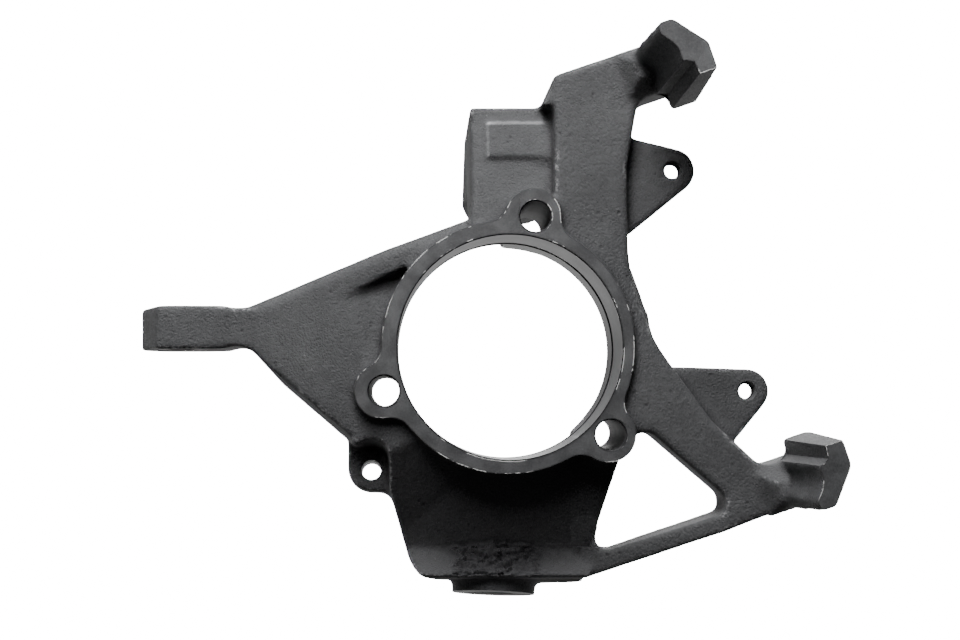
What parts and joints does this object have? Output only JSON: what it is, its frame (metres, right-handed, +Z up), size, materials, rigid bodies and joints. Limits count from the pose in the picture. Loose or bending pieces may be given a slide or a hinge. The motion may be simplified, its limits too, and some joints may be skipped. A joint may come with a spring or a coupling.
{
  "type": "steering knuckle",
  "caption": "Cast steering knuckle for a solid front drive axle: hub ring with bolt lobes, ball joint arms, steering arm and a bracket with brake pad anchors.",
  "frame": {"origin": "centre of the bearing bore, on the machined hub face", "axes": "+X towards the brake caliper, rearward; +Y inboard along the bore, towards the axle; +Z up"},
  "size_m": [0.2966, 0.148, 0.2442],
  "materials": {
    "cast_iron": "satin dark grey coat over sand-cast iron"
  },
  "bodies": {
    "root": {"knuckle": "cast_iron"}
  },
  "joints": []
}
